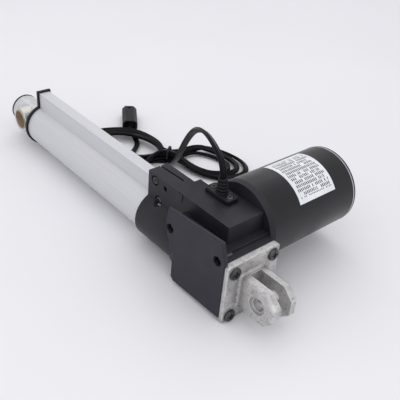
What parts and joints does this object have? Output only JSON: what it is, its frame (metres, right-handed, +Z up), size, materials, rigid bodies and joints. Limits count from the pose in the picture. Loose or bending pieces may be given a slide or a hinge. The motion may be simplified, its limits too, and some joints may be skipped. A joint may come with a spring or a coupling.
{
  "type": "linear actuator",
  "caption": "Electric linear actuator: rod with cross eye sliding from an extruded tube, worm gearbox with side motor, rear clevis, flat cable in a tied hank with plug.",
  "frame": {"origin": "centre of the rear clevis pin bore", "axes": "+Y is the direction in which the rod extends, +X runs along the motor away from the screw, parallel to both pin bores, +Z is up, on the side of the cable channel"},
  "size_m": [0.1754, 0.3743, 0.1027],
  "materials": {
    "housing_black": "moulded charcoal plastic, satin, fine grain",
    "cover_black": "moulded charcoal plastic, a little lighter and duller",
    "black_screw": "blackened steel, oily sheen",
    "cast_aluminium": "raw die-cast aluminium, rough skin, milled faces",
    "anodised_tube": "extruded aluminium, satin clear anodised, faint lines along the length",
    "black_plastic": "moulded black plastic",
    "tie_black": "black twist tie",
    "rubber_black": "black rubber",
    "cable_sheath": "black PVC flat twin sheath, low sheen",
    "acetal": "white acetal",
    "bronze": "sintered bronze, dull and oiled",
    "chrome_rod": "hard chromed steel tube",
    "eye_steel": "turned steel",
    "steel": "ground steel",
    "motor_black": "black powder coat, satin",
    "label_film": null,
    "magnet": "dark ferrite and carbon",
    "lamination": "stacked steel laminations",
    "copper": "enamelled copper",
    "circuit_board": "green circuit board"
  },
  "bodies": {
    "gearbox_body": {"gearbox_housing": "housing_black", "side_cover": "cover_black", "side_cover_screws": "black_screw", "collar_screws": "black_screw", "rear_clevis": "cast_aluminium", "clevis_screws": "black_screw", "outer_tube": "anodised_tube", "front_cap": "black_plastic", "guide_bush": "acetal", "wiper_seal": "rubber_black", "limit_switch_board": "circuit_board", "limit_switches": "black_plastic", "screw_bearing_rear": "steel", "screw_bearing_front": "steel", "motor_can": "motor_black", "motor_front_flange": "cast_aluminium", "motor_bearing_front": "steel", "motor_end_cap": "motor_black", "motor_cap_screws": "black_screw", "motor_rim_ring": "steel", "motor_bearing_rear": "steel", "motor_label": "label_film", "stator_magnets": "magnet", "brush_holder": "black_plastic", "carbon_brushes": "magnet", "worm_tail_bearing": "steel", "cable_gland": "black_plastic", "gland_screws": "black_screw", "strain_relief": "rubber_black", "cable_lead": "cable_sheath", "cable_hank": "cable_sheath", "cable_tail": "cable_sheath", "cable_plug": "black_plastic", "cable_tie": "tie_black"},
    "rod": {"inner_tube": "chrome_rod", "rod_eye_sleeve": "eye_steel", "rod_eye_bush": "bronze", "rod_end_plug": "black_plastic", "drive_nut": "bronze", "switch_trip": "acetal"},
    "screw": {"lead_screw": "steel", "worm_wheel": "acetal", "wheel_nut": "steel"},
    "rotor": {"armature_shaft": "steel", "armature_core": "lamination", "armature_windings": "copper", "commutator": "copper"}
  },
  "joints": [
    {"name": "rotor_spin", "type": "hinge", "parent": "gearbox_body", "child": "rotor", "pos_m": [0.06, 0.06, 0.021], "axis": [1, 0, 0], "range_deg": [0, 180000]},
    {"name": "screw_spin", "type": "hinge", "parent": "gearbox_body", "child": "screw", "pos_m": [0, 0.06, 0], "axis": [0, 1, 0], "range_deg": [0, 9000]},
    {"name": "rod_slide", "type": "slide", "parent": "gearbox_body", "child": "rod", "axis": [0, 1, 0], "range_m": [0, 0.15]}
  ],
  "couplings": [
    {"joint": "screw_spin", "follows": "rotor_spin", "ratio": 0.05},
    {"joint": "rod_slide", "follows": "rotor_spin", "m_per_rad": 0.000047746}
  ]
}
